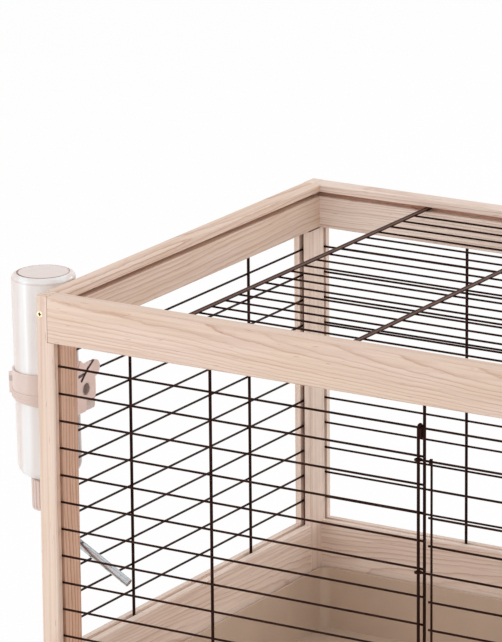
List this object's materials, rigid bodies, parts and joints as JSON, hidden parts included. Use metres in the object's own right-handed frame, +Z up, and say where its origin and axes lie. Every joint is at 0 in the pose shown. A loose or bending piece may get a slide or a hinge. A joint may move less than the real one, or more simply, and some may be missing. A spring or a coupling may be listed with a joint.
{
  "type": "rabbit cage",
  "caption": "Wooden small-animal cage with wire grids, a sliding wire roof, a hinged wire door, a pull-out tray and a clipped drinking bottle.",
  "frame": {"origin": "on the floor under the middle of the cage's posts, at the underside of the base cross rail", "axes": "+Z up, front with the door towards -Y, bottle outside the left side at -X, roof slides towards +X"},
  "size_m": [1.2451, 0.5205, 0.5039],
  "materials": {
    "pine": "planed, unvarnished",
    "hardboard": "smooth",
    "enamel_wire": "satin dark brown enamel",
    "tray_plastic": "moulded, satin",
    "bracket_plastic": "moulded, soft gloss",
    "bottle_plastic": "translucent, glossy",
    "brass": "plated",
    "steel": "polished tube",
    "rubber": "soft"
  },
  "bodies": {
    "cage": {"post_front_left": "pine", "post_front_right": "pine", "post_rear_left": "pine", "post_rear_right": "pine", "top_rail_front": "pine", "top_rail_rear": "pine", "top_rail_left": "pine", "top_rail_right": "pine", "low_rail_front": "pine", "low_board_rear": "pine", "low_board_left": "pine", "low_board_right": "pine", "base_rail_front": "pine", "base_rail_rear": "pine", "base_rail_left": "pine", "base_rail_right": "pine", "base_cross_rail": "pine", "floor_panel": "hardboard", "frame_screws": "brass", "front_grid": "enamel_wire", "rear_grid": "enamel_wire", "left_grid": "enamel_wire", "right_grid": "enamel_wire", "hinge_rod": "enamel_wire", "bottle_bracket": "bracket_plastic", "bracket_clip": "bracket_plastic", "bottle_body": "bottle_plastic", "bottle_cap": "bracket_plastic", "cap_seal": "rubber", "spout_tube": "steel"},
    "roof": {"roof_panel": "enamel_wire"},
    "door": {"front_door": "enamel_wire"},
    "latch": {"latch_bolt": "enamel_wire"},
    "tray": {"tray": "tray_plastic"},
    "ball": {"spout_ball": "steel"}
  },
  "joints": [
    {"name": "roof_slide", "type": "slide", "parent": "cage", "child": "roof", "axis": [1, 0, 0], "range_m": [-0.1215, 0.42]},
    {"name": "door_hinge", "type": "hinge", "parent": "cage", "child": "door", "pos_m": [-0.1181, -0.2496, 0.3], "axis": [0, 0, -1], "range_deg": [0, 165]},
    {"name": "latch_slide", "type": "slide", "parent": "door", "child": "latch", "axis": [1, 0, 0], "range_m": [0, 0.01]},
    {"name": "tray_slide", "type": "slide", "parent": "cage", "child": "tray", "axis": [0, -1, 0], "range_m": [0, 0.4]},
    {"name": "ball_push", "type": "slide", "parent": "cage", "child": "ball", "axis": [-0.8746, 0, 0.4848], "range_m": [0, 0.0008]}
  ]
}
